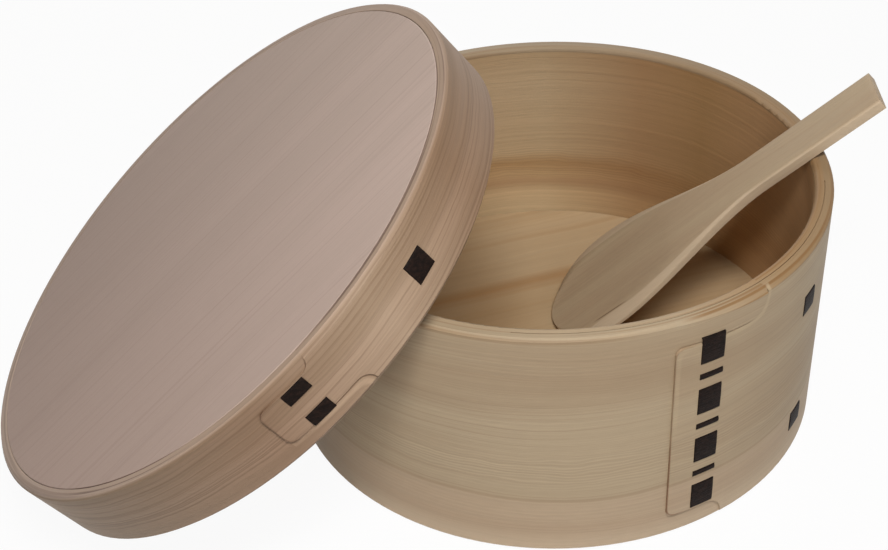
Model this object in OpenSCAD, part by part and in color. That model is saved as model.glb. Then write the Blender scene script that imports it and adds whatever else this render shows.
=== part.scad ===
// Bentwood rice box: a lapped and sewn tub, its lid leaning on the rim, and a paddle standing in it.
// Millimetres, +Z up. The origin is the middle of the tub's foot, and the lid leans towards -X.

/* [Tub] */
// Outside diameter of the tub
tub_d = 200; // [160:1:260]
// Height of the tub's wall
tub_h = 92; // [75:1:115]
// Thickness of the tub's bent wall
tub_wall_t = 6.5; // [5:0.1:9]
// Thickness of the bottom board
bottom_t = 9; // [5:0.5:12]
// Height of the bottom board's underside above the foot of the wall
bottom_lift = 2.5; // [1:0.5:5]

/* [Lid] */
// Height of the lid's hoop
lid_h = 26.4; // [22:0.1:36]
// Thickness of the lid's bent hoop
lid_wall_t = 4; // [3.5:0.1:6]
// Thickness of the lid's board
lid_board_t = 8; // [5:0.5:12]
// Play all round between the closed lid's hoop and the proudest part of the tub's lap
lid_play = 2.3; // [1:0.1:4]
// Lean of the lid from level, in degrees
lid_lean = 36.4; // [28:0.1:45]
// How far the leaning lid sits to one side of the tub's middle
lid_aside = -5.5; // [-15:0.5:15]

/* [Finish and fits] */
// Sanded bevel of the outer edges of both bent boards
edge_bevel = 1; // [0.5:0.1:1.4]
// Sanded rounding of the tub wall's inner edges
rim_inner_round = 1.6; // [0.6:0.1:2]
// Sanded rounding of the lid hoop's inner edges and of its board's edge
joint_round = 0.4; // [0.2:0.05:0.6]
// Glue line between a round board and the bent board round it
glue_gap = 0.1; // [0.05:0.01:0.2]
// Gap left where loose pieces rest on each other
rest_gap = 0.3; // [0.2:0.05:0.5]

/* [Lap] */
// Direction of the tub's sewn row from +X, in degrees
tub_row_az = -70.5; // [-180:0.5:180]
// Direction of the lid's sewn row from the lid's high side, in degrees
lid_row_az = -75.5; // [-180:0.5:180]
// From the sewn row back to the outer end of the bent board
lap_before = 13.5; // [10:0.5:18]
// From the sewn row to the single stitches of the inner end
lap_far = 52.5; // [40:0.5:65]
// From the sewn row to where the lap has sunk back into the round of the wall
lap_fade = 79; // [70:0.5:95]
// How far the outer end stands out over the board under it
lap_rise = 0.9; // [0.5:0.1:1.4]
// Rounding of the outer end's two corners
lap_corner = 3; // [1:0.5:5]
// From a row's first stitch down to the lower edge of the outer end
lap_foot_drop = 0.5; // [0.4:0.05:1]
// Reach of that lower edge past the sewn row, before it turns down to the foot
lap_foot_reach = 9; // [7.5:0.5:14]
// Width of the line between the two layers on the mouth edge
lap_line_w = 0.3; // [0.2:0.05:0.6]
// Depth of that line
lap_line_d = 0.5; // [0.3:0.1:1]

/* [Tongues] */
// Height of the tub's tongue, down from the rim
tub_tongue_h = 9.8; // [7:0.1:16]
// Reach of the tub's tongue past the sewn row
tub_tongue_reach = 22; // [16:0.5:32]
// Height of the lid's tongue, up from the open edge
lid_tongue_h = 6; // [4:0.1:8]
// Reach of the lid's tongue past the sewn row
lid_tongue_reach = 18.5; // [14:0.5:28]
// How far a tongue's end stands out over the board under it
tongue_rise = 1.1; // [0.6:0.1:1.6]
// Open line between a tongue and the end that it passes
tongue_gap = 0.35; // [0.2:0.05:0.6]

/* [Bark stitching] */
// Width of the bark strip
bark_w = 8.6; // [6:0.1:12]
// Thickness of the bark strip
bark_t = 0.6; // [0.4:0.05:0.8]
// How far the bark stands out of the wood
bark_proud = 0.35; // [0.1:0.05:0.5]
// Play of the bark in its slits and beds
bark_play = 0.15; // [0.1:0.01:0.2]
// Length of a strip's tail, tucked flat inside
bark_tail = 3; // [2:0.5:5]
// Number of long stitches in the tub's row
tub_stitches = 4; // [2:1:5]
// Length of a long stitch in the tub's row
tub_stitch = 10.6; // [7:0.1:12]
// Length of the short stitches between the long ones
short_stitch = 2.2; // [2:0.1:3]
// Height of the lowest stitch of the tub's row above the foot
tub_row_foot = 9.8; // [7:0.1:12]
// How far the tub's top stitch bites over the tongue
tub_bite = 1.5; // [0.5:0.1:3]
// Length of a stitch in the lid's row
lid_stitch = 4.7; // [3:0.1:6]
// From the lid's top to the first stitch of its row
lid_row_foot = 5.3; // [4:0.1:7]
// How far the lid's last stitch bites over the tongue
lid_bite = 0.4; // [0.2:0.1:1.5]
// Length of a single stitch at a lap's inner end
end_stitch = 8.3; // [6:0.1:10]
// Height of the lower single stitch above the tub's foot
end_lower = 12.4; // [8:0.1:16]
// From the rim down to the upper single stitch
end_upper_drop = 19.5; // [16:0.1:26]
// From the lid's top to its single stitch
lid_end_drop = 10; // [7:0.1:11]

/* [Paddle] */
// Length of the paddle
paddle_l = 153; // [140:1:190]
// Width of the handle
handle_w = 18.4; // [14:0.1:26]
// Width of the blade
blade_w = 54; // [40:0.5:64]
// Thickness of the handle
handle_t = 4.2; // [3:0.1:7]
// Thickness of the blade at its tip
tip_t = 1.8; // [1.4:0.1:2.5]
// Length over which the handle widens into the blade
flare_l = 74; // [40:1:85]
// Length of the straight stretch of the blade behind its round tip
blade_straight = 1.5; // [0:0.5:10]
// Depth of the hollow in the blade
dish_depth = 0.9; // [0.4:0.1:1.2]
// Width of the hollow in the blade
dish_w = 38; // [25:0.5:39]
// Chamfer of the handle's end
handle_chamfer = 2.2; // [1:0.1:4]
// How far the handle reaches out past the rim that carries it
paddle_out = 32.5; // [20:0.5:40]
// Direction of the place on the rim that carries the handle, in degrees from +X
paddle_az = -3.2; // [-30:0.1:30]
// Turn of the paddle in its own plane, in degrees from straight up the slope
paddle_skew = -6.6; // [-15:0.1:15]

/* [Hidden] */
$fn = 128;

tub_wood = "#c2a985";
board_wood = "#c0a27a";
lid_wood = "#b8a08a";
paddle_wood = "#c4ad8a";
bark = "#2c2320";

tub_r = tub_d / 2;
tub_in_r = tub_r - tub_wall_t;
floor_z = bottom_lift + bottom_t;

lid_in_r = tub_r + tongue_rise + lid_play;
lid_r = lid_in_r + lid_wall_t;

// How far the section of a bent board reaches out, past its lap and its tongue
section_over = lap_rise + tongue_rise;

// Arc length on a radius, as an angle
function arc(len, r) = len / r * 180 / PI;

// Shift of a round that is level with the wall at its sunk end and stands out by rise a span further on
function shift_for(rise, span) = rise / sin(span);

// The lap's round, and its radius at a place past the row
lap_span_len = lap_before + lap_fade;
function lap_shift(r) = shift_for(lap_rise, arc(lap_span_len, r));
function lap_r(r, past_row) = r + lap_shift(r) * sin(arc(lap_fade - past_row, r));

// Stitches of a row, from its foot to its top, with a short stitch midway between the long ones
function long_run(i, n, foot, top, len) =
  let (z = foot + i * (top - foot - len) / (n - 1)) [z, z + len];
function short_run(a, b, len) = let (z = (a[1] + b[0]) / 2) [z - len / 2, z + len / 2];
function row_runs(n, foot, top, len, short) = [
  for (i = [0 : n - 1])
    let (run = long_run(i, n, foot, top, len))
    each i < n - 1 && short > 0
      ? [run, short_run(run, long_run(i + 1, n, foot, top, len), short)]
      : [run]
];

tub_lap_foot = tub_row_foot - lap_foot_drop;
tub_row_top = tub_h - tub_tongue_h + tub_bite;
tub_runs = row_runs(tub_stitches, tub_row_foot, tub_row_top, tub_stitch, short_stitch);
lid_lap_foot = lid_row_foot - lap_foot_drop;
lid_row_top = lid_h - lid_tongue_h + lid_bite;
lid_runs = row_runs(2, lid_row_foot, lid_row_top, lid_stitch, 0);
end_upper_top = tub_h - end_upper_drop;
upper_runs = [[end_upper_top - end_stitch, end_upper_top]];
lower_runs = [[end_lower, end_lower + end_stitch]];
lid_end_runs = [[lid_end_drop, lid_end_drop + end_stitch]];

// Reach of a bevelled outer edge at radius r and height h, in the lid's leaning direction
function edge_reach(r, h) = max(
  (r - edge_bevel) * sin(lid_lean) + h * cos(lid_lean),
  r * sin(lid_lean) + (h - edge_bevel) * cos(lid_lean)
);

// Place of the lid: its mouth edge stands on the floor and its board leans on the tub's rim
lid_z = edge_reach(lid_r, lid_h);
lid_touch = edge_reach(tub_r, tub_h) + rest_gap + lid_board_t;
lid_x = (lid_z * cos(lid_lean) - lid_touch) / sin(lid_lean);

// Place of the paddle: the round of its blade stands on the bottom board,
// and both edges of its handle lie on the rim's inner edge
blade_r = blade_w / 2;
tip_z = floor_z + rest_gap;
rim_h = sqrt(pow(tub_in_r + rim_inner_round, 2) - pow(handle_w / 2 / cos(paddle_skew), 2));
rim_z = tub_h - rim_inner_round;
rim_off = rim_inner_round + rest_gap;
slope_l = (paddle_l - paddle_out - blade_r) * cos(paddle_skew) + blade_r;
rim_reach = norm([slope_l, rim_off]);
rim_rise = asin((rim_z - tip_z) / rim_reach);
paddle_lean = rim_rise + asin(rim_off / rim_reach);
foot_h = rim_h - rim_reach * cos(rim_rise);

// Section of a bent board, board side at 0 and mouth at h: round inner edges, bevelled outer edges
module board_section(r, t, h, inner_round) {
  far = r + section_over;
  drop = edge_bevel + section_over;
  polygon([
    [r - t + inner_round, 0], [r - edge_bevel, 0], [far, drop],
    [far, h - drop], [r - edge_bevel, h], [r - t + inner_round, h]
  ]);
  translate([r - t, inner_round])
    square([inner_round, h - 2 * inner_round]);
  for (z = [inner_round, h - inner_round])
    translate([r - t + inner_round, z])
      circle(inner_round);
}

// Round of the wall, standing off its own middle by shift towards the angle to
module round_of(r, h, shift, to) {
  rotate([0, 0, to])
    translate([shift, 0, -section_over])
      cylinder(r = r, h = h + 2 * section_over);
}

// Everything between the angles a and b
module wedge(a, b, r, h) {
  far = 2 * r;
  translate([0, 0, -section_over])
    linear_extrude(h + 2 * section_over)
      polygon([[0, 0], far * [cos(a), sin(a)], far * [cos(b), sin(b)]]);
}

// Flat outline carried outwards from the axis, x along the wall and y up it
module outwards(r) {
  rotate([90, 0, 90])
    linear_extrude(2 * r)
      children();
}

// Outline of a tongue along the mouth, from before -half to reach; grow widens it on its free sides
module tongue_outline(half, reach, tongue_h, h, grow) {
  round_r = 0.8 * tongue_h + grow;
  low = h - tongue_h - grow;
  end = reach + grow;
  root = half + 2 * lap_corner + grow;
  translate([-root, low])
    square([root + end - round_r, h - low + section_over]);
  translate([end - round_r, low + round_r])
    circle(round_r);
  translate([end - round_r, low + round_r])
    square([round_r, h - low - round_r + section_over]);
}

// What a rounded corner of the lapped end leaves out
module corner_waste(half, top) {
  mid = 0.93 * lap_corner - half;
  difference() {
    translate([mid - 2 * lap_corner, top - lap_corner])
      square([2 * lap_corner, 1.1 * lap_corner]);
    translate([mid, top - lap_corner])
      circle(lap_corner);
  }
}

// Outer end of the board from its start to past its fade, cut away for the tongue and at its foot
module lapped_end(r, h, start, fade, middle, half, tongue_h, foot_h) {
  foot_reach = r * sin(arc(lap_foot_reach, r) - middle);
  difference() {
    intersection() {
      round_of(r, h, lap_shift(r), fade - 90);
      wedge(start, fade + arc(lap_before, r), r, h);
    }
    rotate([0, 0, middle])
      outwards(r) {
        tongue_outline(half, half, tongue_h, h, tongue_gap);
        corner_waste(half, h - tongue_h - tongue_gap);
        translate([0, h])
          mirror([0, 1]) {
            tongue_outline(half, foot_reach, foot_h, h, 0);
            corner_waste(half, h - foot_h);
          }
      }
  }
}

// Bent board with lapped ends, row at angle 0, board side at 0 and mouth at h
module bent_board(r, t, h, inner_round, tongue_h, tongue_reach, foot_h) {
  start = -arc(lap_before, r);
  fade = arc(lap_fade, r);
  tongue_end = arc(tongue_reach, r);
  sunk = start - arc(lap_corner, r);
  middle = (start + tongue_end) / 2;
  half = r * sin((tongue_end - start) / 2);
  intersection() {
    rotate_extrude()
      board_section(r, t, h, inner_round);
    union() {
      round_of(r, h, 0, 0);
      lapped_end(r, h, start, fade, middle, half, tongue_h, foot_h);
      intersection() {
        round_of(r, h, shift_for(tongue_rise, tongue_end - sunk), sunk + 90);
        rotate([0, 0, middle])
          outwards(r)
            tongue_outline(half, half, tongue_h, h, 0);
      }
    }
  }
}

// Line between the two layers, cut into the mouth edge
module lap_line(r, t, h) {
  from = -arc(lap_far + lap_before, r);
  to = arc(lap_span_len, r);
  rotate([0, 0, from])
    rotate_extrude(angle = to - from)
      translate([r - t / 2 - lap_line_w / 2, h - lap_line_d])
        square([lap_line_w, 2 * lap_line_d]);
}

// Section of a bark strip: runs outside, passes through the wall, runs and tails inside
module lace_section(runs, in_r, out_r, grow) {
  last = len(runs) - 1;
  side = bark_t + 2 * grow;
  for (run = runs) {
    translate([out_r - bark_t - grow, run[0] - grow])
      square([side, run[1] - run[0] + 2 * grow]);
    for (z = [run[0], run[1] - bark_t])
      translate([in_r - grow, z - grow])
        square([out_r - in_r + 2 * grow, side]);
  }
  for (i = [0 : 1 : last - 1]) {
    from = runs[i][1] - bark_t;
    to = runs[i + 1][0] + bark_t;
    translate([in_r - grow, from - grow])
      square([side, to - from + 2 * grow]);
  }
  for (z = [runs[0][0] - bark_tail, runs[last][1] - bark_t])
    translate([in_r - grow, z - grow])
      square([side, bark_tail + bark_t + 2 * grow]);
}

// Bark strip at a place past the row, or with grow its slits and beds
module lace(runs, r, t, past_row, grow) {
  out_r = lap_r(r, past_row) + bark_proud;
  in_r = r - t + bark_play / 2;
  width = arc(bark_w + 2 * grow, r);
  rotate([0, 0, arc(past_row, r) - width / 2])
    rotate_extrude(angle = width)
      lace_section(runs, in_r, out_r, grow);
}

// Frame of the tub's seam
module at_tub_seam() {
  rotate([0, 0, tub_row_az])
    children();
}

// Frame of the lid: top face at 0, hoop hanging below it, high side towards +X
module at_lid() {
  translate([lid_x, lid_aside, lid_z])
    rotate([0, -lid_lean, 0])
      children();
}

// Frame of the lid's seam, with the mouth upwards
module at_lid_seam() {
  at_lid()
    rotate([0, 0, lid_row_az])
      mirror([0, 0, 1])
        children();
}

module tub_wall() {
  color(tub_wood)
    at_tub_seam()
      difference() {
        bent_board(tub_r, tub_wall_t, tub_h, rim_inner_round, tub_tongue_h, tub_tongue_reach, tub_lap_foot);
        lap_line(tub_r, tub_wall_t, tub_h);
        lace(tub_runs, tub_r, tub_wall_t, 0, bark_play);
        lace(upper_runs, tub_r, tub_wall_t, lap_far, bark_play);
        lace(lower_runs, tub_r, tub_wall_t, lap_far, bark_play);
      }
}

module tub_bottom() {
  color(board_wood)
    translate([0, 0, bottom_lift])
      cylinder(r = tub_in_r - glue_gap, h = bottom_t);
}

module tub_seam_lace() {
  color(bark)
    at_tub_seam()
      lace(tub_runs, tub_r, tub_wall_t, 0, 0);
}

module tub_end_stitch_upper() {
  color(bark)
    at_tub_seam()
      lace(upper_runs, tub_r, tub_wall_t, lap_far, 0);
}

module tub_end_stitch_lower() {
  color(bark)
    at_tub_seam()
      lace(lower_runs, tub_r, tub_wall_t, lap_far, 0);
}

module lid_hoop() {
  color(lid_wood)
    at_lid_seam()
      difference() {
        bent_board(lid_r, lid_wall_t, lid_h, joint_round, lid_tongue_h, lid_tongue_reach, lid_lap_foot);
        lap_line(lid_r, lid_wall_t, lid_h);
        lace(lid_runs, lid_r, lid_wall_t, 0, bark_play);
        lace(lid_end_runs, lid_r, lid_wall_t, lap_far, bark_play);
      }
}

module lid_board() {
  board_r = lid_in_r - glue_gap;
  color(lid_wood)
    at_lid()
      rotate_extrude() {
        translate([0, -lid_board_t])
          square([board_r, lid_board_t - joint_round]);
        translate([0, -joint_round])
          square([board_r - joint_round, joint_round]);
        translate([board_r - joint_round, -joint_round])
          intersection() {
            circle(joint_round);
            square(joint_round);
          }
      }
}

module lid_seam_lace() {
  color(bark)
    at_lid_seam()
      lace(lid_runs, lid_r, lid_wall_t, 0, 0);
}

module lid_end_stitch() {
  color(bark)
    at_lid_seam()
      lace(lid_end_runs, lid_r, lid_wall_t, lap_far, 0);
}

// Paddle from its tip: round end, straight stretch, flare and handle
flare_from = blade_r + blade_straight;
flare_to = flare_from + flare_l;
taper = (handle_t - tip_t) / flare_to;
dish_r = (pow(dish_w / 2, 2) + pow(dish_depth, 2)) / (2 * dish_depth);
function ease(u) = u * u * (3 - 2 * u);

// Half width of the paddle at a distance from its tip
function half_width(x) =
  x < blade_r ? sqrt(x * (2 * blade_r - x))
  : x < flare_from ? blade_r
  : x < flare_to ? blade_r - (blade_r - handle_w / 2) * ease((x - flare_from) / flare_l)
  : handle_w / 2;

tip_steps = 14;
flare_steps = 14;
paddle_side = concat(
  [for (i = [0 : tip_steps]) let (x = blade_r * (1 - cos(90 * i / tip_steps))) [x, half_width(x)]],
  [for (i = [0 : flare_steps]) let (x = flare_from + flare_l * i / flare_steps) [x, half_width(x)]],
  [[paddle_l - handle_chamfer, handle_w / 2], [paddle_l, handle_w / 2 - handle_chamfer]]
);
paddle_outline = concat(
  paddle_side,
  [for (i = [len(paddle_side) - 1 : -1 : 1]) [paddle_side[i][0], -paddle_side[i][1]]]
);

// Paddle lying flat, tip at the middle, handle along +X
module paddle_flat() {
  difference() {
    intersection() {
      linear_extrude(handle_t)
        polygon(paddle_outline);
      rotate([90, 0, 0])
        linear_extrude(2 * blade_w, center = true)
          polygon([[0, 0], [paddle_l, 0], [paddle_l, handle_t], [flare_to, handle_t], [0, tip_t]]);
    }
    translate([blade_r, 0, tip_t + taper * blade_r])
      rotate([0, -atan(taper), 0])
        translate([0, 0, dish_r - dish_depth])
          sphere(dish_r);
  }
}

module rice_paddle() {
  color(paddle_wood)
    rotate([0, 0, paddle_az])
      translate([foot_h, 0, tip_z])
        rotate([0, -paddle_lean, 0])
          translate([slope_l, 0, 0])
            rotate([0, 0, paddle_skew])
              translate([paddle_out - paddle_l, 0, 0])
                paddle_flat();
}

tub_wall();
tub_bottom();
tub_seam_lace();
tub_end_stitch_upper();
tub_end_stitch_lower();
lid_hoop();
lid_board();
lid_seam_lace();
lid_end_stitch();
rice_paddle();
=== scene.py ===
import math

import bmesh
import bpy
from mathutils import Matrix, Vector


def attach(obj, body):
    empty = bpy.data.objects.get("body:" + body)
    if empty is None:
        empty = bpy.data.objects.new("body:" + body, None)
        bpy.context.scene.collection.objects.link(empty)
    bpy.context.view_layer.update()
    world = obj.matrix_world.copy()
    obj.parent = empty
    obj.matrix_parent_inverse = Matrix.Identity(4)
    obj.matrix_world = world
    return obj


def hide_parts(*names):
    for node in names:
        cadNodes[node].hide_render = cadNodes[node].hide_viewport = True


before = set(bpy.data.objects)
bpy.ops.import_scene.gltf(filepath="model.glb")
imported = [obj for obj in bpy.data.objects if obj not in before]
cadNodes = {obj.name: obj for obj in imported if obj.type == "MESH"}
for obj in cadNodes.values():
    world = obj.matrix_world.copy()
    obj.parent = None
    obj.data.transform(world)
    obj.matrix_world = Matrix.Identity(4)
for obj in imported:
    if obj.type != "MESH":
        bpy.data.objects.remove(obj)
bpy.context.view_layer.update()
mm = 0.001
print("frame loaded:", len(cadNodes), "nodes")


class Signal:  # a shader socket that can stand in sums
    def __init__(self, tree, socket=None):
        self.tree = tree
        self.socket = socket

    def node(self, kind, settings=None, inputs=None, output=0):
        made = self.tree.nodes.new(kind)
        for name, value in (settings or {}).items():
            if name == "stops":
                self.setStops(made.color_ramp, value)
            else:
                setattr(made, name, value)
        for name, value in (inputs or {}).items():
            if isinstance(value, Signal):
                self.tree.links.new(value.socket, made.inputs[name])
            else:
                made.inputs[name].default_value = value
        return Signal(self.tree, made.outputs[output] if made.outputs else None)

    def setStops(self, ramp, stops):
        first, last = ramp.elements[0], ramp.elements[-1]
        first.position, first.color = stops[0][0], tint(stops[0][1])
        last.position, last.color = stops[-1][0], tint(stops[-1][1])
        for place, colour in stops[1:-1]:
            ramp.elements.new(place).color = tint(colour)

    def maths(self, operation, first, second=0.0, third=0.0):
        inputs = {0: first, 1: second, 2: third}
        return self.node("ShaderNodeMath", {"operation": operation}, inputs)

    def __add__(self, other):
        return self.maths("ADD", self, other)

    def __radd__(self, other):
        return self.maths("ADD", other, self)

    def __sub__(self, other):
        return self.maths("SUBTRACT", self, other)

    def __rsub__(self, other):
        return self.maths("SUBTRACT", other, self)

    def __mul__(self, other):
        return self.maths("MULTIPLY", self, other)

    def __rmul__(self, other):
        return self.maths("MULTIPLY", other, self)

    def __truediv__(self, other):
        return self.maths("DIVIDE", self, other)

    def __pow__(self, other):
        return self.maths("POWER", self, other)

    def __abs__(self):
        return self.maths("ABSOLUTE", self)


screenCurve = {"toe": 0.04045, "slope": 12.92, "offset": 0.055, "power": 2.4}
colourSockets = {"share": 0, "first": 6, "second": 7, "result": 2}  # of a Mix node


def tint(colour):  # screen colour of 0 to 255 as Blender's linear colour
    curve = screenCurve
    linear = []
    for value in colour:
        part = value / 255
        if part <= curve["toe"]:
            linear.append(part / curve["slope"])
        else:
            linear.append(((part + curve["offset"]) / (1 + curve["offset"])) ** curve["power"])
    return (*linear, 1.0)


def newFinish(name):
    material = bpy.data.materials.new(name)
    material.use_nodes = True
    material.node_tree.nodes.clear()
    return material, Signal(material.node_tree)


def placedIn(paint, centre, turn):  # Object coordinates in mm in a piece's own frame
    place = paint.node("ShaderNodeTexCoord", output="Object")
    local = paint.node(
        "ShaderNodeMapping",
        {"vector_type": "TEXTURE"},
        {"Vector": place, "Location": centre, "Rotation": turn, "Scale": (mm, mm, mm)},
    )
    split = paint.node("ShaderNodeSeparateXYZ", inputs={0: local})
    outputs = split.socket.node.outputs
    return [Signal(paint.tree, outputs[axis]) for axis in "XYZ"]


def mottle(paint, spot, waves, detail=2.0, roughness=0.5):  # waves per mm along each axis
    x, y, z = [part * wave for part, wave in zip(spot, waves)]
    vector = paint.node("ShaderNodeCombineXYZ", inputs={"X": x, "Y": y, "Z": z})
    inputs = {"Vector": vector, "Scale": 1.0, "Detail": detail, "Roughness": roughness}
    return paint.node("ShaderNodeTexNoise", {"noise_dimensions": "3D"}, inputs)


def easeFrom(paint, value, low, high):  # 0 at low, 1 at high, with a soft start and stop
    inputs = {"Value": value, "From Min": low, "From Max": high}
    return paint.node("ShaderNodeMapRange", {"interpolation_type": "SMOOTHSTEP"}, inputs)


def withinArcs(paint, place, arcs):  # 1 inside each arc, fading over its first and last pairs
    share = None
    for rise, full, fall, gone in arcs:
        arc = easeFrom(paint, place, rise, full) * easeFrom(paint, place, gone, fall)
        share = arc if share is None else paint.maths("MAXIMUM", share, arc)
    return share


def mixTone(paint, share, first, second, blend="MIX"):
    first, second = [v if isinstance(v, Signal) else tint(v) for v in (first, second)]
    at = colourSockets
    settings = {"data_type": "RGBA", "blend_type": blend}
    inputs = {at["share"]: share, at["first"]: first, at["second"]: second}
    return paint.node("ShaderNodeMix", settings, inputs, at["result"])


def timesTone(paint, first, second):
    return mixTone(paint, 1.0, first, second, "MULTIPLY")


def rampTone(paint, share, stops):
    return paint.node("ShaderNodeValToRGB", {"stops": stops}, {0: share})


def scaleTone(paint, colour, factor):
    settings = {"operation": "SCALE"}
    return paint.node("ShaderNodeVectorMath", settings, {0: colour, "Scale": factor})


def closeFinish(paint, colour, grain, fleck, skin):  # the tone, and how the surface takes light
    rough = skin["rough"] + (grain - 0.5) * skin["roughGrain"]
    relief = grain + fleck * skin["fleckRelief"]
    bump = {"Strength": 1.0, "Distance": skin["relief"], "Height": relief}
    normal = paint.node("ShaderNodeBump", inputs=bump)
    inputs = {
        "Base Color": colour, "Roughness": rough, "Normal": normal,
        "Specular IOR Level": skin["gloss"],
    }
    shader = paint.node("ShaderNodeBsdfPrincipled", inputs=inputs)
    paint.node("ShaderNodeOutputMaterial", inputs={"Surface": shader})


def clearSelection():
    active = bpy.context.view_layer.objects.active
    if active and active.mode != "OBJECT":
        bpy.ops.object.mode_set(mode="OBJECT")
    bpy.ops.object.select_all(action="DESELECT")


def takeUp(piece):  # the only selected piece, and the active one
    clearSelection()
    piece.select_set(True)
    bpy.context.view_layer.objects.active = piece


def pickPoints(piece, wanted):  # in edit mode, the vertices whose place passes
    bpy.ops.mesh.select_all(action="DESELECT")
    mesh = bmesh.from_edit_mesh(piece.data)
    for point in mesh.verts:
        if wanted(point.co):
            point.select_set(True)
    mesh.select_flush(True)
    bmesh.update_edit_mesh(piece.data)


def shift(x=0.0, y=0.0, z=0.0):
    bpy.ops.transform.translate(value=(x, y, z))


def applyModifier(piece, kind, settings):
    takeUp(piece)
    modifier = piece.modifiers.new(kind.lower(), kind)
    for name, value in settings.items():
        setattr(modifier, name, value)
    bpy.ops.object.modifier_apply(modifier=modifier.name)


def softenEdges(piece, width, segments, angle):
    settings = {"width": width, "segments": segments, "limit_method": "ANGLE"}
    applyModifier(piece, "BEVEL", {**settings, "angle_limit": math.radians(angle)})


def settle(piece, matrix):  # puts the piece's place and its scale into its mesh
    takeUp(piece)
    piece.matrix_world = matrix
    bpy.ops.object.transform_apply(location=True, rotation=True, scale=True)


def dress(piece, material):
    piece.data.materials.clear()
    piece.data.materials.append(material)


# The lid leans on the tub: x is its high side, z its own axis, with the top face at 0
lidPose = {"centre": (-0.1233101, -0.0055, 0.08438897), "lean": -36.4}
lidTurn = Matrix.Rotation(math.radians(lidPose["lean"]), 4, "Y")
lidMatrix = Matrix.Translation(lidPose["centre"]) @ lidTurn


def turnedOnLid(degrees):  # a turn about the lid's own axis, as a Mapping node takes it
    return tuple((lidTurn @ Matrix.Rotation(math.radians(degrees), 4, "Z")).to_euler())


# The paddle from its flat pose, with the tip at 0 and the handle along x, in mm
paddlePose = {
    "az": -3.2, "foot": 4.112, "tipZ": 11.8, "lean": 41.872,
    "slope": 119.880, "skew": -6.6, "reach": -120.5,
}


def paddleMatrix(pose):
    def turn(degrees, axis):
        return Matrix.Rotation(math.radians(degrees), 4, axis)

    lift = Matrix.Translation((pose["foot"], 0, pose["tipZ"]))
    out = Matrix.Translation((pose["slope"], 0, 0))
    back = Matrix.Translation((pose["reach"], 0, 0))
    chain = turn(pose["az"], "Z") @ lift @ turn(-pose["lean"], "Y") @ out
    return Matrix.Scale(mm, 4) @ chain @ turn(pose["skew"], "Z") @ back


# Bent boards: the grain runs round the wall, and starts again on the lapped end.
# Lengths are in mm, round the wall from the lap's end and up from the board's side to the mouth.
tubWood = {
    "centre": (0, 0, 0), "turn": (0, 0, math.radians(101.765)), "up": 1,
    "radius": 100, "height": 92, "innerFace": 96.5,
    "outside": (172, 154, 128), "outsideDeep": (159, 138, 112), "streak": (149, 126, 101),
    "outsideRound": None,
    "inside": [
        (0.12, (206, 178, 142)), (0.24, (216, 183, 143)), (0.29, (190, 152, 114)),
        (0.34, (200, 162, 120)), (0.40, (184, 144, 101)), (0.46, (202, 170, 133)),
        (0.82, (204, 173, 138)), (0.98, (194, 161, 125)),
    ],
    # painted shade round the inner wall, deepest on its right side
    "insidePaintedShade": [
        (0.10, (233, 225, 215)), (0.27, (237, 225, 209)), (0.32, (212, 200, 176)),
        (0.37, (217, 207, 193)), (0.44, (243, 252, 255)), (0.60, (233, 233, 231)),
    ],
    "plain": {"colour": (197, 166, 131), "from": 285, "to": 185, "share": 0.75},
    "edge": [
        (0.00, (169, 152, 127)), (0.07, (147, 117, 80)), (0.19, (133, 107, 75)),
        (0.40, (153, 135, 111)), (0.90, (168, 150, 124)),
    ],
    "edgeHigh": (89.7, 90.3), "edgeDeep": (200, 199),
    "seam": {"at": 99.2, "soft": (0.15, 0.60), "colour": (131, 96, 57), "arcs": [(0, 12, 60, 150)]},
    "grain": {"waves": (1 / 150, 0.4, 1.1), "detail": 4.0, "roughness": 0.62},
    "tone": {"waves": (1 / 260, 0.15, 1 / 20), "detail": 1.5},
    "line": {"waves": (1 / 210, 0.2, 1.9), "detail": 1.0},
    "grainShare": 0.34, "wanderHigh": 5.0, "rippleHigh": 3.0,
    "figure": {"at": 37, "wide": 12, "rings": 0.06},
    "mark": {
        "at": 24.0, "under": (-2.0, 0.5), "soft": (0.1, 0.9), "line": (135, 107, 83),
        "below": (179, 156, 133), "belowShare": 0.5, "lineShare": 0.6,
        # painted light along the foot, over its contact shade
        "foot": (200, 182, 158), "footLightHigh": (12.0, 2.0), "footLightShare": 0.45,
    },
    "tongueAt": 82.0, "tongueEnd": 35.5, "tongueRound": 13.8,
    "footAt": 9.3, "footEnd": 22.5, "footRound": 13.0, "corner": 5.3,
    "lapLine": (121, 84, 57), "lapLineShare": (0.22, 0.70),
    # a painted highlight along the lap's bevelled edge
    "lapHighlight": (183, 163, 134), "lapHighlightShare": 0.7, "lapHighlightAt": -1.1,
}
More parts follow.
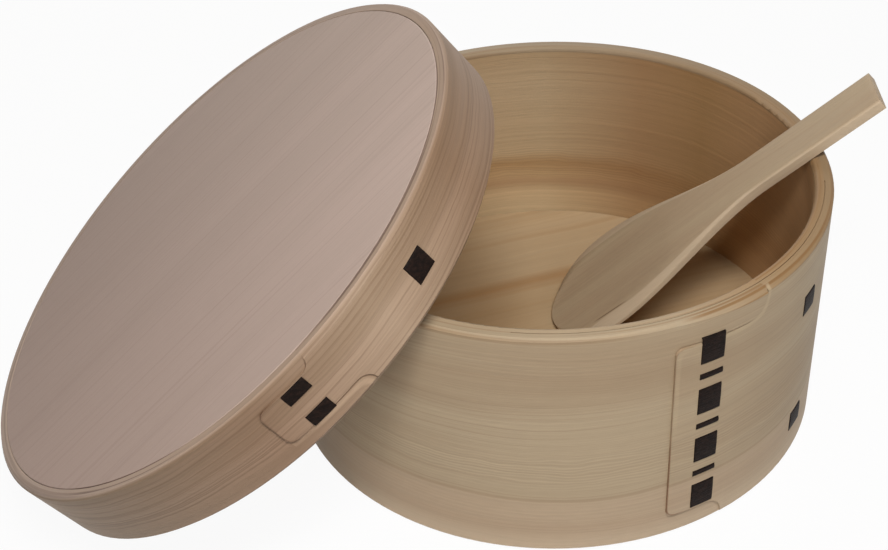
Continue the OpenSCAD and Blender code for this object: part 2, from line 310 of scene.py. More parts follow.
hoopWood = {
    "centre": lidPose["centre"], "turn": turnedOnLid(97.298), "up": -1,
    "radius": 107.4, "height": 26.4, "innerFace": 105.4,
    "outside": (174, 147, 125), "outsideDeep": (157, 131, 108), "streak": (123, 95, 73),
    "outsideRound": [
        (0.00, (214, 208, 202)), (0.07, (250, 255, 255)), (0.15, (219, 212, 203)),
        (0.22, (228, 230, 232)), (0.55, (224, 219, 213)), (0.90, (211, 216, 217)),
        (1.00, (214, 208, 202)),
    ],
    "inside": [(0.0, (153, 128, 101)), (1.0, (162, 137, 110))],
    "insidePaintedShade": None, "plain": None,
    "edge": [
        (0.00, (168, 145, 127)), (0.25, (168, 145, 127)), (0.35, (178, 158, 145)),
        (0.85, (178, 158, 145)), (1.00, (168, 145, 127)),
    ],
    "edgeHigh": (0.9, 0.3), "edgeDeep": (107.3, 106.4),
    "seam": {
        "at": 103.5, "soft": (0.05, 0.40), "colour": (86, 62, 49),
        "arcs": [(25, 45, 125, 165), (590, 605, 640, 655)],
    },
    "grain": {"waves": (1 / 150, 0.4, 1.2), "detail": 4.0, "roughness": 0.62},
    "tone": {"waves": (1 / 260, 0.15, 1 / 9), "detail": 1.5},
    "line": {"waves": (1 / 210, 0.2, 1.6), "detail": 1.0},
    "grainShare": 0.42, "wanderHigh": 4.0, "rippleHigh": 1.5,
    "figure": {"at": 13, "wide": 13, "rings": 0.025},
    "mark": None,
    "tongueAt": 20.2, "tongueEnd": 32.0, "tongueRound": 8.4,
    "footAt": 4.8, "footEnd": 22.5, "footRound": 6.7, "corner": 5.3,
    "lapLine": (90, 56, 37), "lapLineShare": (0.28, 0.28),
    # a painted highlight along the lap's bevelled edge
    "lapHighlight": (182, 156, 131), "lapHighlightShare": 0.6, "lapHighlightAt": 1.3,
}
bentFinish = {  # what both bent boards share
    "wander": (1 / 90, 1 / 6, 1 / 25), "ripple": (1 / 20, 1 / 9, 1 / 8),
    "fleck": {"waves": (1 / 7, 1.1, 2.2), "detail": 1.0},
    "layer": {"waves": (1 / 130, 0.75, 0.0), "detail": 2.0},
    "lapStep": 0.1, "figureCore": 0.3, "ringWaves": 4.7, "ringRipple": 6.0,
    "toneFrom": (0.38, 0.68), "lineFrom": (0.50, 0.72), "lineShare": 0.40,
    "innerSoft": 0.6, "outerFrom": (-1.6, -0.6), "edgeShare": 0.8, "seamShare": 0.8,
    "layerFrom": (0.50, 0.64), "layerShare": 0.35, "layerArcs": 0.35,
    # where the painted highlight along the lap lies
    "highlightSoft": (0.3, 1.1), "highlightPast": (6.0, 14.0), "highlightLeast": 0.4, "highlightHigh": (0.45, 0.60),
    "stepSoft": (0.08, 0.40), "stepPast": (9.0, 3.0), "stepLow": (0.52, 0.36),
    "stepLeast": 0.45, "stepFleck": 1.1, "fleckShare": 0.10,
    "skin": {
        "rough": 0.60, "roughGrain": 0.25, "relief": 0.00012, "fleckRelief": 0.3, "gloss": 0.28,
    },
}


def lapDistance(paint, look, past, high):  # below 0 on the lapped end
    def rounded(first, second, reach):
        return paint.maths("SMOOTH_MAX", first, second, reach)

    tongue = rounded(past - look["tongueEnd"], look["tongueAt"] - high, look["tongueRound"])
    foot = rounded(past - look["footEnd"], high - look["footAt"], look["footRound"])
    lap = rounded(0 - tongue, 0 - foot, look["corner"])
    return rounded(0 - past, lap, look["corner"])


def outerTone(paint, look, tone, line, grain, level, high):
    shared, mark = bentFinish, look["mark"]
    share = easeFrom(paint, tone, *shared["toneFrom"])
    outer = mixTone(paint, share, look["outside"], look["outsideDeep"])
    share = easeFrom(paint, line, *shared["lineFrom"]) * shared["lineShare"]
    outer = mixTone(paint, share, outer, look["streak"])
    if mark:  # a dark ring of grain, paler wood under it that is partly painted light over the shade near the foot, and painted light along the foot itself
        low, top = [mark["at"] + part for part in mark["under"]]
        below = 1 - easeFrom(paint, level, low, top)
        outer = mixTone(paint, below * mark["belowShare"], outer, mark["below"])
        footLight = easeFrom(paint, high, *mark["footLightHigh"]) * mark["footLightShare"]
        outer = mixTone(paint, footLight, outer, mark["foot"])
        ring = 1 - easeFrom(paint, abs(level - mark["at"]), *mark["soft"])
        outer = mixTone(paint, ring * (grain * mark["lineShare"]), outer, mark["line"])
    return outer


def bentWood(name, look):
    shared, figure, seam = bentFinish, look["figure"], look["seam"]
    material, paint = newFinish(name)
    x, y, z = placedIn(paint, look["centre"], look["turn"])
    radius, girth = look["radius"], 2 * math.pi * look["radius"]
    past = (paint.maths("ARCTAN2", y, x) + math.pi) * radius
    deep = (x * x + y * y) ** 0.5
    high = z * look["up"]
    around = past / girth
    lap = lapDistance(paint, look, past, high)
    along = past + easeFrom(paint, lap, 0.0, shared["lapStep"]) * girth

    wander = mottle(paint, (along, deep, high), shared["wander"]) - 0.5
    ripple = mottle(paint, (along, deep, high), shared["ripple"]) - 0.5
    off = abs(high - figure["at"])
    waved = 1 - easeFrom(paint, off, shared["figureCore"] * figure["wide"], figure["wide"])
    level = high + wander * look["wanderHigh"] + ripple * waved * look["rippleHigh"]
    grain = mottle(paint, (along, deep, level), **look["grain"])
    tone = mottle(paint, (along, deep, level), **look["tone"])
    line = mottle(paint, (along, deep, level), **look["line"])
    fleck = mottle(paint, (along, deep, high), **shared["fleck"])

    outer = outerTone(paint, look, tone, line, grain, level, high)
    if look["outsideRound"]:
        outer = timesTone(paint, outer, rampTone(paint, around, look["outsideRound"]))
    inner = rampTone(paint, level / look["height"], look["inside"])
    plain = look["plain"]
    if plain:  # even wood on one side, in place of the bands, its tone partly raised as painted light in the shade there
        share = easeFrom(paint, past, plain["from"], plain["to"]) * plain["share"]
        inner = mixTone(paint, share, inner, plain["colour"])
    # painted shade round the inner wall
    if look["insidePaintedShade"]:
        inner = timesTone(paint, inner, rampTone(paint, around, look["insidePaintedShade"]))
    near, far = look["innerFace"] - shared["innerSoft"], look["innerFace"] + shared["innerSoft"]
    colour = mixTone(paint, 1 - easeFrom(paint, deep, near, far), outer, inner)

    onEdge = easeFrom(paint, high, *look["edgeHigh"]) * easeFrom(paint, deep, *look["edgeDeep"])
    edge = rampTone(paint, around, look["edge"])
    colour = mixTone(paint, onEdge * shared["edgeShare"], colour, edge)
    layer = mottle(paint, (along, deep, 0.0), **shared["layer"])
    arcs = withinArcs(paint, past, seam["arcs"])
    joint = 1 - easeFrom(paint, abs(deep - seam["at"]), *seam["soft"])
    lines = easeFrom(paint, layer, *shared["layerFrom"])
    lines = lines * (shared["layerShare"] + arcs * shared["layerArcs"])
    lines = paint.maths("MAXIMUM", joint * arcs * shared["seamShare"], lines)
    colour = mixTone(paint, lines * onEdge, colour, seam["colour"])

    isOuter = easeFrom(paint, deep, *[radius + part for part in shared["outerFrom"]])
    # a painted highlight along the bevelled edge of the lap, towards the mouth
    shine = 1 - easeFrom(paint, abs(lap - look["lapHighlightAt"]), *shared["highlightSoft"])
    least = shared["highlightLeast"]
    shine = shine * (least + easeFrom(paint, past, *shared["highlightPast"]) * (1 - least))
    mouth = [part * look["height"] for part in shared["highlightHigh"]]
    shine = shine * easeFrom(paint, high, *mouth)
    colour = mixTone(paint, shine * isOuter * look["lapHighlightShare"], colour, look["lapHighlight"])
    step = 1 - easeFrom(paint, abs(lap), *shared["stepSoft"])
    step = step * isOuter * (shared["stepLeast"] + fleck * shared["stepFleck"])
    step = step * easeFrom(paint, past, *shared["stepPast"])
    upper, lower = look["lapLineShare"]
    low = easeFrom(paint, high, *[part * look["height"] for part in shared["stepLow"]])
    step = step * (upper + low * (lower - upper))
    colour = mixTone(paint, step, colour, look["lapLine"])

    rings = paint.maths("SINE", level * shared["ringWaves"] + ripple * shared["ringRipple"])
    strength = 1 + (grain - 0.5) * look["grainShare"] + (fleck - 0.5) * shared["fleckShare"]
    colour = scaleTone(paint, colour, strength + rings * waved * figure["rings"])
    closeFinish(paint, colour, grain, fleck, shared["skin"])
    return material


# Flat boards: straight grain along the board's own x
lidBoardWood = {
    "centre": lidPose["centre"], "turn": turnedOnLid(13),
    "light": (193, 172, 161), "deep": (180, 161, 149), "streak": (172, 150, 139),
    # on this board the slope and the darkening towards the low edge are painted light and shade
    "bow": 0.0, "slope": (-80.0, 95.0),
    "grain": {"waves": (1 / 160, 2.0, 0.4), "detail": 4.0, "roughness": 0.6},
    "tone": {"waves": (1 / 420, 1 / 24, 0.1), "detail": 1.5},
    "line": {"waves": (1 / 300, 0.66, 0.3), "detail": 1.0},
    "heart": None,
    "fade": {"from": 110.0, "to": -110.0, "colour": (146, 122, 111), "share": 0.5},
    "joint": {
        "at": 103.25, "soft": 0.2, "colour": (86, 62, 49), "share": 0.8,
        "arcs": [(-84, -76, -24, -10), (-142, -136, -116, -108)],
    },
}
bottomWood = {
    "centre": (0, 0, 0), "turn": (0, 0, math.radians(11)),
    "light": (183, 160, 128), "deep": (173, 147, 113), "streak": (164, 134, 97),
    "bow": 9.0, "slope": (52.0, 34.0),
    "grain": {"waves": (1 / 160, 0.55, 0.4), "detail": 4.0, "roughness": 0.6},
    "tone": {"waves": (1 / 420, 1 / 14, 0.1), "detail": 1.5},
    "line": {"waves": (1 / 300, 0.1815, 0.3), "detail": 1.0},
    "heart": {"at": 41.0, "wide": 7, "colour": (153, 111, 66), "share": 0.8, "least": 0.4},
    # a painted shadow of the lid on the left part of the bottom
    "fade": {"from": 10.0, "to": -18.0, "colour": (124, 86, 41), "share": 0.32},
    "joint": None,
}
flatFinish = {  # what both flat boards share
    "bow": (1 / 110, 1 / 70, 1 / 40), "fleck": {"waves": (1 / 6, 2.4, 2.0), "detail": 1.0},
    "toneFrom": (0.36, 0.66), "toneShare": 0.3, "lineFrom": (0.52, 0.70), "lineShare": 0.45,
    "grainShare": 0.20, "fleckShare": 0.10,
    "skin": {
        "rough": 0.58, "roughGrain": 0.25, "relief": 0.00010, "fleckRelief": 0.3, "gloss": 0.28,
    },
}


def flatWood(name, look):
    shared, heart, fade, joint = flatFinish, look["heart"], look["fade"], look["joint"]
    material, paint = newFinish(name)
    x, y, z = placedIn(paint, look["centre"], look["turn"])
    across = y + (mottle(paint, (x, y, z), shared["bow"]) - 0.5) * look["bow"]
    grain = mottle(paint, (x, across, z), **look["grain"])
    tone = mottle(paint, (x, across, z), **look["tone"])
    line = mottle(paint, (x, across, z), **look["line"])
    fleck = mottle(paint, (x, y, z), **shared["fleck"])
    share = easeFrom(paint, tone, *shared["toneFrom"]) * shared["toneShare"]
    slope = easeFrom(paint, across, *look["slope"])  # paler towards one side of the board; on the lid board this is painted light and shade
    share = share + slope * (1 - shared["toneShare"])
    colour = mixTone(paint, share, look["light"], look["deep"])
    share = easeFrom(paint, line, *shared["lineFrom"]) * shared["lineShare"]
    colour = mixTone(paint, share, colour, look["streak"])
    if heart:
        band = 1 - easeFrom(paint, abs(across - heart["at"]), 0.0, heart["wide"])
        band = band * (heart["least"] + grain * (1 - heart["least"]))
        colour = mixTone(paint, band * heart["share"], colour, heart["colour"])
    # painted shade: darker towards one end, a painted shadow of the lid on the bottom and painted
    # shade across the lid's top
    share = easeFrom(paint, x, fade["from"], fade["to"]) * fade["share"]
    colour = mixTone(paint, share, colour, fade["colour"])
    if joint:  # the dark line round the board, on parts of its edge
        angle = paint.maths("ARCTAN2", y, x) * (180 / math.pi)
        rim = easeFrom(paint, (x * x + y * y) ** 0.5, joint["at"] - joint["soft"], joint["at"])
        rim = rim * withinArcs(paint, angle, joint["arcs"])
        colour = mixTone(paint, rim * joint["share"], colour, joint["colour"])
    strength = 1 + (grain - 0.5) * shared["grainShare"] + (fleck - 0.5) * shared["fleckShare"]
    closeFinish(paint, scaleTone(paint, colour, strength), grain, fleck, shared["skin"])
    return material


paddleLook = {
    "light": (176, 156, 128), "deep": (170, 148, 121), "streak": (159, 135, 109),
    "bow": (1 / 80, 1 / 40, 1 / 30), "bowWide": 9,
    "grain": {"waves": (1 / 90, 0.9, 0.5), "detail": 4.0, "roughness": 0.6},
    "tone": {"waves": (1 / 200, 1 / 9, 0.2), "detail": 1.5},
    "line": {"waves": (1 / 140, 0.4, 0.4), "detail": 1.0},
    "fleck": {"waves": (1 / 4, 2.2, 2.2), "detail": 1.0},
    "toneFrom": (0.36, 0.66), "lineFrom": (0.55, 0.75), "lineShare": 0.3,
    "grainShare": 0.18, "fleckShare": 0.12,
    # a painted highlight on the bevelled edges
    "edge": {
        "colour": (200, 180, 154), "share": 0.75, "soft": (-0.2, 0.7),
        "blade": 20.8, "narrowing": 12.34, "flare": (36.0, 100.0),
    },
    # a painted shadow line along the crease where the blade's hollow meets its raised edge
    "creaseShadow": {
        "colour": (105, 79, 56), "share": 0.8, "soft": (0.10, 0.55),
        "at": 18.9, "slant": 0.045, "start": (19.0, 24.0), "stop": (38.0, 32.0),
    },
    "skin": {
        "rough": 0.55, "roughGrain": 0.25, "relief": 0.00010, "fleckRelief": 0.4, "gloss": 0.30,
    },
}


def paddleWood(name, look):
    edge, creaseShadow = look["edge"], look["creaseShadow"]
    material, paint = newFinish(name)
    matrix = paddleMatrix(paddlePose)
    x, y, z = placedIn(paint, tuple(matrix.translation), tuple(matrix.to_euler()))
    across = y + (mottle(paint, (x, y, z), look["bow"]) - 0.5) * look["bowWide"]
    grain = mottle(paint, (x, across, z), **look["grain"])
    tone = mottle(paint, (x, across, z), **look["tone"])
    line = mottle(paint, (x, across, z), **look["line"])
    fleck = mottle(paint, (x, y, z), **look["fleck"])
    share = easeFrom(paint, tone, *look["toneFrom"])
    colour = mixTone(paint, share, look["light"], look["deep"])
    share = easeFrom(paint, line, *look["lineFrom"]) * look["lineShare"]
    colour = mixTone(paint, share, colour, look["streak"])
    # painted highlight: a paler strip along the bevelled edges, where they catch the light
    bevel = edge["blade"] - easeFrom(paint, x, *edge["flare"]) * edge["narrowing"]
    share = easeFrom(paint, abs(y) - bevel, *edge["soft"]) * edge["share"]
    colour = mixTone(paint, share, colour, edge["colour"])
    # painted shadow along the crease where the hollow meets the raised edge
    off = abs(y + creaseShadow["at"] + x * creaseShadow["slant"])
    share = (1 - easeFrom(paint, off, *creaseShadow["soft"])) * creaseShadow["share"]
    share = share * easeFrom(paint, x, *creaseShadow["start"]) * easeFrom(paint, x, *creaseShadow["stop"])
    colour = mixTone(paint, share, colour, creaseShadow["colour"])
    strength = 1 + (grain - 0.5) * look["grainShare"] + (fleck - 0.5) * look["fleckShare"]
    closeFinish(paint, scaleTone(paint, colour, strength), grain, fleck, look["skin"])
    return material


barkLook = {
    "dark": (22, 16, 14), "warm": (37, 26, 22), "spotted": (74, 56, 45),
    "cloud": {"waves": (0.5, 0.5, 0.9), "detail": 3.0, "roughness": 0.6},
    "ring": {"waves": (0.35, 0.35, 2.6)}, "spot": {"waves": (1.6, 1.6, 3.4)},
    "cloudFrom": (0.36, 0.70), "spotFrom": (0.64, 0.78), "spotShare": 0.6,
    "skin": {
        "rough": 0.53, "roughGrain": 0.22, "relief": 0.00018, "fleckRelief": 0.6, "gloss": 0.06,
    },
}


def barkFinish(name, look):
    material, paint = newFinish(name)
    place = placedIn(paint, (0, 0, 0), (0, 0, 0))
    cloud = mottle(paint, place, **look["cloud"])
    ring = mottle(paint, place, **look["ring"])
    spot = mottle(paint, place, **look["spot"])
    share = easeFrom(paint, cloud, *look["cloudFrom"])
    colour = mixTone(paint, share, look["dark"], look["warm"])
    share = easeFrom(paint, spot, *look["spotFrom"]) * look["spotShare"]
    colour = mixTone(paint, share, colour, look["spotted"])
    closeFinish(paint, colour, ring, spot, look["skin"])
    return material


cadNodes["tub_wall"].material_slots[0].material = bentWood("tubWallWood", tubWood)
cadNodes["lid_hoop"].material_slots[0].material = bentWood("lidHoopWood", hoopWood)
cadNodes["lid_board"].material_slots[0].material = flatWood("lidBoardWood", lidBoardWood)
cadNodes["tub_bottom"].material_slots[0].material = flatWood("tubBottomWood", bottomWood)
paddleMaterial = paddleWood("paddleWood", paddleLook)
barkMaterial = barkFinish("barkSkin", barkLook)
print("finishes ready:", len(bpy.data.materials))

# Paddle: a flat grid drawn in to the outline, given its thickness, thinned and hollowed, in mm
paddleShape = {
    "length": 153.0, "bladeHalf": 27.0, "handleHalf": 9.2, "straight": 1.5, "flare": 74.0,
    "thick": 4.2, "tipThick": 1.8, "lastStep": 2.2, "leastHalf": 0.02,
    "tipSteps": 14, "flareSteps": 26, "handleSteps": 8,
    "lanes": [0.16, 0.40, 0.58, 0.68, 0.885, 1.0],
    "bevelLane": [(0.0, 0.76), (40.0, 0.78), (55.0, 0.87), (70.0, 0.90), (90.0, 0.92)],
    "bladeEdge": 1.5, "handleEdge": 0.7, "edgeMost": 0.62,
    "dish": 0.75, "dishAt": 30.0, "dishReach": 30.0,
    "soften": {"width": 0.45, "segments": 3, "angle": 34}, "smoothAngle": 30, "weld": 0.03,
}
# How points are picked: lanes as shares of the half width, places within a small slack
paddlePick = {
    "all": (0.0, 1.1), "dish": (0.0, 0.60), "bevel": (0.80, 0.95), "edge": (0.95, 1.1),
    "topAbove": 0.5, "slack": 1e-3, "gridSlack": 0.2, "asideX": 1000.0, "asideY": 10.0,
}


def eased(u):
    return u * u * (3 - 2 * u)


def halfWidth(shape, x):
    blade, handle = shape["bladeHalf"], shape["handleHalf"]
    start = blade + shape["straight"]
    if x < blade:
        return max(math.sqrt(max(0.0, x * (2 * blade - x))), shape["leastHalf"])
    if x < start:
        return blade
    return blade - (blade - handle) * eased(min(1.0, (x - start) / shape["flare"]))


def paddleStations(shape):  # places along x, closer together where the outline turns
    tips, flares, steps = shape["tipSteps"], shape["flareSteps"], shape["handleSteps"]
    blade, start = shape["bladeHalf"], shape["bladeHalf"] + shape["straight"]
    tip = [blade * (1 - math.cos(math.pi / 2 * i / tips)) for i in range(tips + 1)]
    flare = [start + shape["flare"] * i / flares for i in range(flares + 1)]
    run = shape["length"] - shape["lastStep"] - flare[-1]
    handle = [flare[-1] + run * (i + 1) / steps for i in range(steps)]
    return tip + flare + handle + [shape["length"]]


def bevelLane(shape, x):  # share of the half width where the bevel starts
    steps = shape["bevelLane"]
    for (low, first), (high, second) in zip(steps, steps[1:]):
        if x < high:
            return first + (second - first) * (x - low) / (high - low)
    return steps[-1][1]


def spreadGrid(paddle, shape, stations):  # moves points well aside first, so none is picked twice
    lanes, pick = shape["lanes"], paddlePick
    stepX, stepY = 2 / (len(stations) - 1), 2 / (2 * len(lanes) - 1)
    for i, lane in enumerate(lanes):  # lanes across, from the middle out
        even = stepY * (i + 0.5)
        for side in (-1, 1):
            near = pick["gridSlack"] * stepY
            pickPoints(paddle, lambda p: abs(p.y - side * even) < near)
            shift(y=side * (lane + pick["asideY"] - even))
    for side in (-1, 1):
        pickPoints(paddle, lambda p: p.y * side > pick["asideY"] / 2)
        shift(y=-pick["asideY"] * side)
    for i, station in enumerate(stations):  # stations from the tip to the handle's end
        even = -1 + stepX * i
        pickPoints(paddle, lambda p: abs(p.x - even) < pick["gridSlack"] * stepX)
        half = halfWidth(shape, station)
        bpy.ops.transform.resize(value=(1, half, 1), center_override=(even, 0, 0))
        shift(x=pick["asideX"] + station - even)
    bpy.ops.mesh.select_all(action="SELECT")
    shift(x=-pick["asideX"])


def pickStation(paddle, station, half, lanes, topOnly=True):
    pick = paddlePick
    low, high = [share * half for share in lanes]

    def wanted(p):
        inLanes = abs(p.x - station) < pick["slack"] and low < abs(p.y) < high
        return inLanes and (p.z > pick["topAbove"] or not topOnly)

    pickPoints(paddle, wanted)


def carveStation(paddle, shape, station):  # thinner to the tip, edges bevelled, blade hollowed
    half, pick = halfWidth(shape, station), paddlePick
    u = min(1.0, station / (shape["bladeHalf"] + shape["straight"] + shape["flare"]))
    drop = (shape["thick"] - shape["tipThick"]) * (1 - u)
    if drop > 0:
        pickStation(paddle, station, half, pick["all"])
        shift(z=-drop)
    edge = shape["bladeEdge"] + (shape["handleEdge"] - shape["bladeEdge"]) * eased(u)
    pickStation(paddle, station, half, pick["edge"])
    shift(z=-min(edge, shape["edgeMost"] * (shape["thick"] - drop)))
    pickStation(paddle, station, half, pick["bevel"], topOnly=False)
    narrow = bevelLane(shape, station) / shape["lanes"][-2]
    bpy.ops.transform.resize(value=(1, narrow, 1), center_override=(station, 0, 0))
    near = 1 - min(1.0, abs(station - shape["dishAt"]) / shape["dishReach"]) ** 2
    if near > 0:
        pickStation(paddle, station, half, pick["dish"])
        shift(z=-shape["dish"] * near)


def makePaddle(shape):
    stations = paddleStations(shape)
    clearSelection()
    bpy.ops.mesh.primitive_grid_add(
        x_subdivisions=len(stations) - 1, y_subdivisions=2 * len(shape["lanes"]) - 1,
        size=2, location=(0, 0, 0),
    )
    paddle = bpy.context.object
    paddle.name = "paddleBlank"
    bpy.ops.object.mode_set(mode="EDIT")
    spreadGrid(paddle, shape, stations)
    bpy.ops.mesh.extrude_region_move(TRANSFORM_OT_translate={"value": (0, 0, shape["thick"])})
    for station in stations:
        carveStation(paddle, shape, station)
    bpy.ops.mesh.select_all(action="SELECT")
    bpy.ops.mesh.remove_doubles(threshold=shape["weld"])
    bpy.ops.mesh.normals_make_consistent(inside=False)
    bpy.ops.object.mode_set(mode="OBJECT")
    softenEdges(paddle, **shape["soften"])
    settle(paddle, paddleMatrix(paddlePose))
    bpy.ops.object.shade_smooth_by_angle(angle=math.radians(shape["smoothAngle"]))
    return paddle


paddle = makePaddle(paddleShape)
dress(paddle, paddleMaterial)
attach(paddle, "paddle")
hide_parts("rice_paddle")
print("paddle made:", len(paddle.data.polygons), "faces")

# Bark: a bent strip, sewn through slits; runs outside, links and tails inside, in mm
barkStrip = {
    "wide": 8.6, "thick": 0.52, "crown": 0.10, "crownMost": 0.03, "bend": 0.55,
    "bendArc": [(1.0, 0.0), (0.45, 0.14), (0.14, 0.45), (0.0, 1.0)],
    "throughWall": 1.9, "tail": 3.0, "tailLift": 0.06, "steps": 10, "weld": 1e-4,
    "soften": {"width": 0.14, "segments": 2, "angle": 50}, "smoothAngle": 40,
}
tubRow = {
    "az": -70.5, "radius": 101.150, "inner": 93.575, "girth": 100.0,
    "runs": [
        (9.8, 20.4), (24.55, 26.75), (30.9, 41.5), (45.65, 47.85),
        (52.0, 62.6), (66.75, 68.95), (73.1, 83.7),
    ],
}
upperEnd = {**tubRow, "az": -40.42, "radius": 100.645, "runs": [(64.2, 72.5)]}
lowerEnd = {**tubRow, "az": -40.42, "radius": 100.645, "runs": [(12.4, 20.7)]}
lidRow = {
    "az": -75.5, "radius": 108.546, "inner": 103.475, "girth": 107.4,
    "runs": [(-20.8, -16.1), (-10.0, -5.3)],
}
lidEnd = {**lidRow, "az": -47.49, "radius": 108.040, "runs": [(-18.3, -10.0)]}


def bendSpots(strip):  # from inside the slit round to the strip's face: depth and way along
    bend = strip["bend"]
    return [(strip["throughWall"], 0.0)] + [(r * bend, z * bend) for r, z in strip["bendArc"]]


def runProfile(strip, radius, low, high, side):  # outer face of one run, side -1 faces inwards
    crown = min(strip["crown"], strip["crownMost"] * (high - low))
    spots = bendSpots(strip)
    start = [(radius - side * (r + crown), low + z) for r, z in spots]
    stop = [(radius - side * (r + crown), high - z) for r, z in reversed(spots)]
    return start + [(radius, (low + high) / 2)] + stop


def tailProfile(strip, radius, root, tip):  # a tail inside, flat against the wall
    way = 1 if tip > root else -1
    bent = [(radius + r, root + way * z) for r, z in bendSpots(strip)]
    return bent + [(radius + strip["tailLift"], tip)]


def spinStrip(name, strip, profile, az, girth):
    clearSelection()
    bpy.ops.mesh.primitive_plane_add(size=1, location=(0, 0, 0))
    piece = bpy.context.object
    piece.name = name
    bpy.ops.object.mode_set(mode="EDIT")
    bpy.ops.mesh.select_all(action="SELECT")
    bpy.ops.mesh.merge(type="CENTER")
    turn = math.radians(az) - strip["wide"] / girth / 2
    spots = [Vector((r * math.cos(turn), r * math.sin(turn), z)) for r, z in profile]
    bpy.ops.mesh.select_all(action="SELECT")
    shift(*spots[0])
    for before, after in zip(spots, spots[1:]):
        bpy.ops.mesh.extrude_vertices_move(TRANSFORM_OT_translate={"value": tuple(after - before)})
    bpy.ops.mesh.select_all(action="SELECT")
    bpy.ops.mesh.spin(
        steps=strip["steps"], angle=-strip["wide"] / girth, center=(0, 0, 0), axis=(0, 0, 1)
    )
    bpy.ops.mesh.select_all(action="SELECT")
    bpy.ops.mesh.remove_doubles(threshold=strip["weld"])
    bpy.ops.mesh.normals_make_consistent(inside=False)
    bpy.ops.object.mode_set(mode="OBJECT")
    return piece


def outward(piece, az, middle, side):  # turns the sheet so that its face looks out of the wall
    face = min(piece.data.polygons, key=lambda p: abs(p.center.z - middle))
    look = Vector((math.cos(math.radians(az)), math.sin(math.radians(az)), 0)) * side
    if face.normal.dot(look) < 0:
        takeUp(piece)
        bpy.ops.object.mode_set(mode="EDIT")
        bpy.ops.mesh.select_all(action="SELECT")
        bpy.ops.mesh.flip_normals()
        bpy.ops.object.mode_set(mode="OBJECT")


def laceJobs(strip, row):  # each strip's profile, its middle height and the side it faces
    runs, thick, tail = row["runs"], strip["thick"], strip["tail"]
    jobs = [(runProfile(strip, row["radius"], a, b, 1), (a + b) / 2, 1) for a, b in runs]
    for (_, low), (high, _) in zip(runs, runs[1:]):
        low, high = low - thick, high + thick
        jobs.append((runProfile(strip, row["inner"], low, high, -1), (low + high) / 2, -1))
    first, last = runs[0][0] + thick, runs[-1][1] - thick
    for root, tip in ((first, first - tail), (last, last + tail)):
        jobs.append((tailProfile(strip, row["inner"], root, tip), tip, -1))
    return jobs


def makeLace(name, row, matrix):
    strip = barkStrip
    sheets = []
    for profile, middle, side in laceJobs(strip, row):
        sheet = spinStrip(name, strip, profile, row["az"], row["girth"])
        outward(sheet, row["az"], middle, side)
        sheets.append(sheet)
    clearSelection()
    for sheet in sheets:
        sheet.select_set(True)
    bpy.context.view_layer.objects.active = sheets[0]
    bpy.ops.object.join()
    lace = bpy.context.object
    lace.name = name
    applyModifier(lace, "SOLIDIFY", {"thickness": strip["thick"], "offset": -1.0})
    softenEdges(lace, **strip["soften"])
    settle(lace, matrix @ Matrix.Scale(mm, 4))
    bpy.ops.object.shade_smooth_by_angle(angle=math.radians(strip["smoothAngle"]))
    return lace


laces = [
    ("tubSeamLace", tubRow, Matrix.Identity(4), "tub", "tub_seam_lace"),
    ("tubEndStitchUpper", upperEnd, Matrix.Identity(4), "tub", "tub_end_stitch_upper"),
    ("tubEndStitchLower", lowerEnd, Matrix.Identity(4), "tub", "tub_end_stitch_lower"),
    ("lidSeamLace", lidRow, lidMatrix, "lid", "lid_seam_lace"),
    ("lidEndStitch", lidEnd, lidMatrix, "lid", "lid_end_stitch"),
]
for laceName, row, matrix, body, node in laces:
    lace = makeLace(laceName, row, matrix)
    dress(lace, barkMaterial)
    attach(lace, body)
    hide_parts(node)
    print("bark made:", laceName, len(lace.data.polygons), "faces")

# Camera and light, in metres and degrees
cameraLook = {
    "place": (-0.085573, -0.430545, 0.363283), "turn": 6.0166, "dip": 35.9207,
    "roll": -3.2570, "lens": 57.68, "film": 36.0, "near": 0.01,
}


def addCamera(look):
    turn, dip, roll = [math.radians(look[key]) for key in ("turn", "dip", "roll")]
    ahead = Vector((
        math.sin(turn) * math.cos(dip), math.cos(turn) * math.cos(dip), -math.sin(dip)
    ))
    side = ahead.cross(Vector((0, 0, 1))).normalized()
    over = side.cross(ahead)
    right = math.cos(roll) * side + math.sin(roll) * over
    up = math.cos(roll) * over - math.sin(roll) * side
    data = bpy.data.cameras.new("camera")
    data.lens, data.sensor_width, data.clip_start = look["lens"], look["film"], look["near"]
    camera = bpy.data.objects.new("camera", data)
    camera.matrix_world = (
        Matrix.Translation(look["place"]) @ Matrix((right, up, -ahead)).transposed().to_4x4()
    )
    bpy.context.scene.collection.objects.link(camera)
    bpy.context.scene.camera = camera


lampLook = {"colour": (255, 252, 248), "aim": (-0.03, 0, 0.05)}  # what all lamps share
lamps = {
    "mainLamp": {"place": (0.01, -0.482, 0.806), "size": (0.40, 0.15), "power": 6.88},
    "backLamp": {"place": (-0.03, 0.780, 0.498), "size": (0.35, 0.35), "power": 1.82},
    "sideLamp": {"place": (0.422, -0.633, 0.502), "size": (0.35, 0.35), "power": 0.378},
    "lowLamp": {"place": (-0.50, -0.74, 0.25), "size": (0.35, 0.35), "power": 1.08},
}


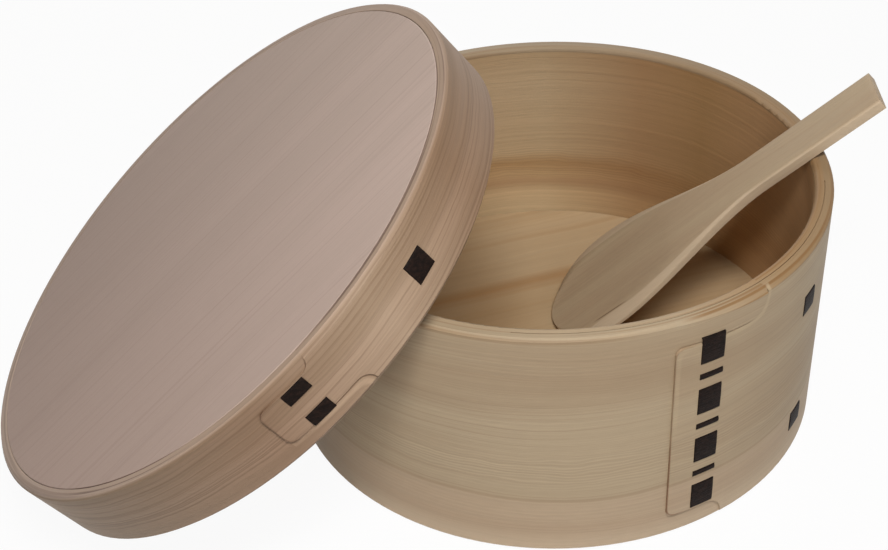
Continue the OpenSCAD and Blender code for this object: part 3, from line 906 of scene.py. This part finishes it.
def addLamps(settings):
    for name, lamp in settings.items():
        data = bpy.data.lights.new(name, "AREA")
        data.shape, data.energy = "RECTANGLE", lamp["power"]
        data.size, data.size_y = lamp["size"]
        data.color = tint(lampLook["colour"])[:3]
        made = bpy.data.objects.new(name, data)
        aim = Vector(lampLook["aim"]) - Vector(lamp["place"])
        made.matrix_world = (
            Matrix.Translation(lamp["place"]) @ aim.to_track_quat("-Z", "Y").to_matrix().to_4x4()
        )
        made.visible_camera = False
        bpy.context.scene.collection.objects.link(made)


studio = {
    "ambient": (246, 249, 255), "ambientLevel": 0.0405,
    "floorWide": 6.0, "floorTone": (232, 232, 232), "clear": 0.94,
}


def showsBackground(paint):  # 1 for rays that should see plain white
    path = paint.node("ShaderNodeLightPath").socket.node.outputs
    names = ("Is Camera Ray", "Is Glossy Ray", "Is Transmission Ray")
    seen, glossy, through = [Signal(paint.tree, path[name]) for name in names]
    return paint.maths("MAXIMUM", paint.maths("MAXIMUM", seen, glossy), through)


def addWorld(look):
    world = bpy.data.worlds.new("studio")
    world.use_nodes = True
    world.node_tree.nodes.clear()
    bpy.context.scene.world = world
    paint = Signal(world.node_tree)
    soft = paint.node(
        "ShaderNodeBackground",
        inputs={"Color": tint(look["ambient"]), "Strength": look["ambientLevel"]},
    )
    white = paint.node("ShaderNodeBackground", inputs={"Color": (1, 1, 1, 1), "Strength": 1.0})
    both = paint.node("ShaderNodeMixShader", inputs={0: showsBackground(paint), 1: soft, 2: white})
    paint.node("ShaderNodeOutputWorld", inputs={"Surface": both})


def addFloor(look):
    clearSelection()
    bpy.ops.mesh.primitive_plane_add(size=look["floorWide"], location=(0, 0, 0))
    floor = bpy.context.object
    floor.name = "floor"
    material, paint = newFinish("floorPaper")
    matt = paint.node("ShaderNodeBsdfDiffuse", inputs={"Color": tint(look["floorTone"])})
    white = paint.node("ShaderNodeEmission", inputs={"Color": (1, 1, 1, 1), "Strength": 1.0})
    share = showsBackground(paint) * look["clear"]
    both = paint.node("ShaderNodeMixShader", inputs={0: share, 1: matt, 2: white})
    paint.node("ShaderNodeOutputMaterial", inputs={"Surface": both})
    dress(floor, material)


addCamera(cameraLook)
addLamps(lamps)
addWorld(studio)
addFloor(studio)
bpy.context.scene.view_settings.view_transform = "Standard"
print("studio ready")
